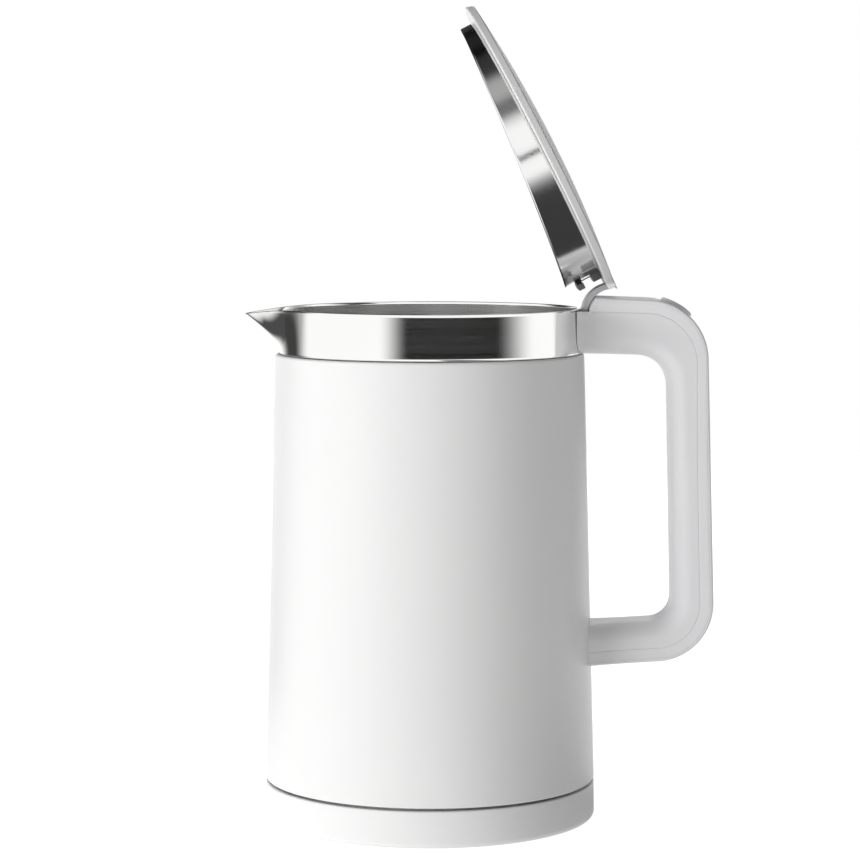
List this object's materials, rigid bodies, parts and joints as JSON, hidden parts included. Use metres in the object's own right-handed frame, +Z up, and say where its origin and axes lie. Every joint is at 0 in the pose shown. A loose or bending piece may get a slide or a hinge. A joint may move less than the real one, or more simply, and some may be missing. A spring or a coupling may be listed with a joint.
{
  "type": "electric kettle",
  "caption": "Cordless electric kettle on a round power base, with a conical double-wall jug, steel pot, C-shaped handle and sprung lid standing open.",
  "frame": {"origin": "on the jug's axis, at the level that the feet stand on", "axes": "+Z up along the jug's axis, +X towards the handle, -X towards the spout"},
  "size_m": [0.2046, 0.1454, 0.3561],
  "materials": {
    "white_plastic": "satin white moulding",
    "grey_plastic": "satin light grey moulding",
    "light_grey_plastic": "light grey moulding",
    "button_plastic": "smooth pale moulding",
    "polished_steel": "polished stainless steel",
    "zinc_steel": "zinc-plated steel",
    "aluminium": "plain aluminium",
    "dark_steel": "heat-darkened steel tube",
    "copper": "copper",
    "brass": "brass",
    "board": "green circuit board",
    "wire": "black insulation",
    "rubber": "dark rubber",
    "dark_plastic": "dark grey moulding"
  },
  "bodies": {
    "base": {"base_shell": "white_plastic", "base_plate": "light_grey_plastic", "base_feet": "rubber", "base_connector": "light_grey_plastic", "base_contacts": "brass", "base_screws": "zinc_steel", "connector_screws": "zinc_steel", "cord_gland": "light_grey_plastic"},
    "contacts": {"jug_contacts": "brass"},
    "jug": {"outer_body": "white_plastic", "steel_pot": "polished_steel", "pot_bracket": "zinc_steel", "heater_plate": "aluminium", "heating_element": "dark_steel", "temperature_sensor": "copper", "jug_connector": "light_grey_plastic", "bottom_cover": "light_grey_plastic", "jug_screws": "zinc_steel", "control_board": "board", "wire_harness": "wire", "handle_inner": "grey_plastic", "handle_outer": "grey_plastic", "collar_bracket": "zinc_steel", "nut_plates": "zinc_steel", "handle_screws": "zinc_steel", "cover_screw": "zinc_steel", "handle_board": "board", "light_guides": "button_plastic", "hinge_pin": "zinc_steel", "lid_spring": "zinc_steel", "latch_spring": "zinc_steel", "button_spring": "zinc_steel"},
    "lid": {"lid_plate": "white_plastic", "lid_top": "white_plastic", "lid_arm": "grey_plastic", "arm_screws": "zinc_steel", "lid_cup": "polished_steel", "cup_screws": "zinc_steel", "lid_catch": "dark_plastic"},
    "release_button": {"lid_button": "button_plastic"},
    "latch": {"latch_slider": "dark_plastic"},
    "boil_key": {"boil_button": "button_plastic"},
    "warm_key": {"keep_warm_button": "button_plastic"}
  },
  "joints": [
    {"name": "lift", "type": "slide", "parent": "base", "child": "contacts", "axis": [0, 0, 1], "range_m": [0, 0.12]},
    {"name": "swivel", "type": "hinge", "parent": "contacts", "child": "jug", "pos_m": [0, 0, 0.02], "axis": [0, 0, 1], "continuous": true},
    {"name": "lid_hinge", "type": "hinge", "parent": "jug", "child": "lid", "pos_m": [0.0798, 0, 0.2224], "axis": [0, 1, 0], "range_deg": [-62.8, 0], "stiffness_Nm_per_rad": 0.09, "springref_deg": 85.94, "deforming": ["lid_spring"]},
    {"name": "lid_button_press", "type": "slide", "parent": "jug", "child": "release_button", "axis": [-0.5075, 0, -0.8616], "range_m": [0, 0.002], "stiffness_N_per_m": 400, "springref_m": -0.001, "deforming": ["button_spring"]},
    {"name": "latch_slide", "type": "slide", "parent": "jug", "child": "latch", "axis": [1, 0, 0], "range_m": [0, 0.002], "stiffness_N_per_m": 200, "springref_m": -0.001, "deforming": ["latch_spring"]},
    {"name": "boil_press", "type": "slide", "parent": "jug", "child": "boil_key", "axis": [-1, 0, 0], "range_m": [0, 0.0007], "stiffness_N_per_m": 1500, "springref_m": -0.0004},
    {"name": "keep_warm_press", "type": "slide", "parent": "jug", "child": "warm_key", "axis": [-1, 0, 0], "range_m": [0, 0.0007], "stiffness_N_per_m": 1500, "springref_m": -0.0004}
  ],
  "couplings": [
    {"joint": "latch_slide", "follows": "lid_button_press", "ratio": 1}
  ]
}
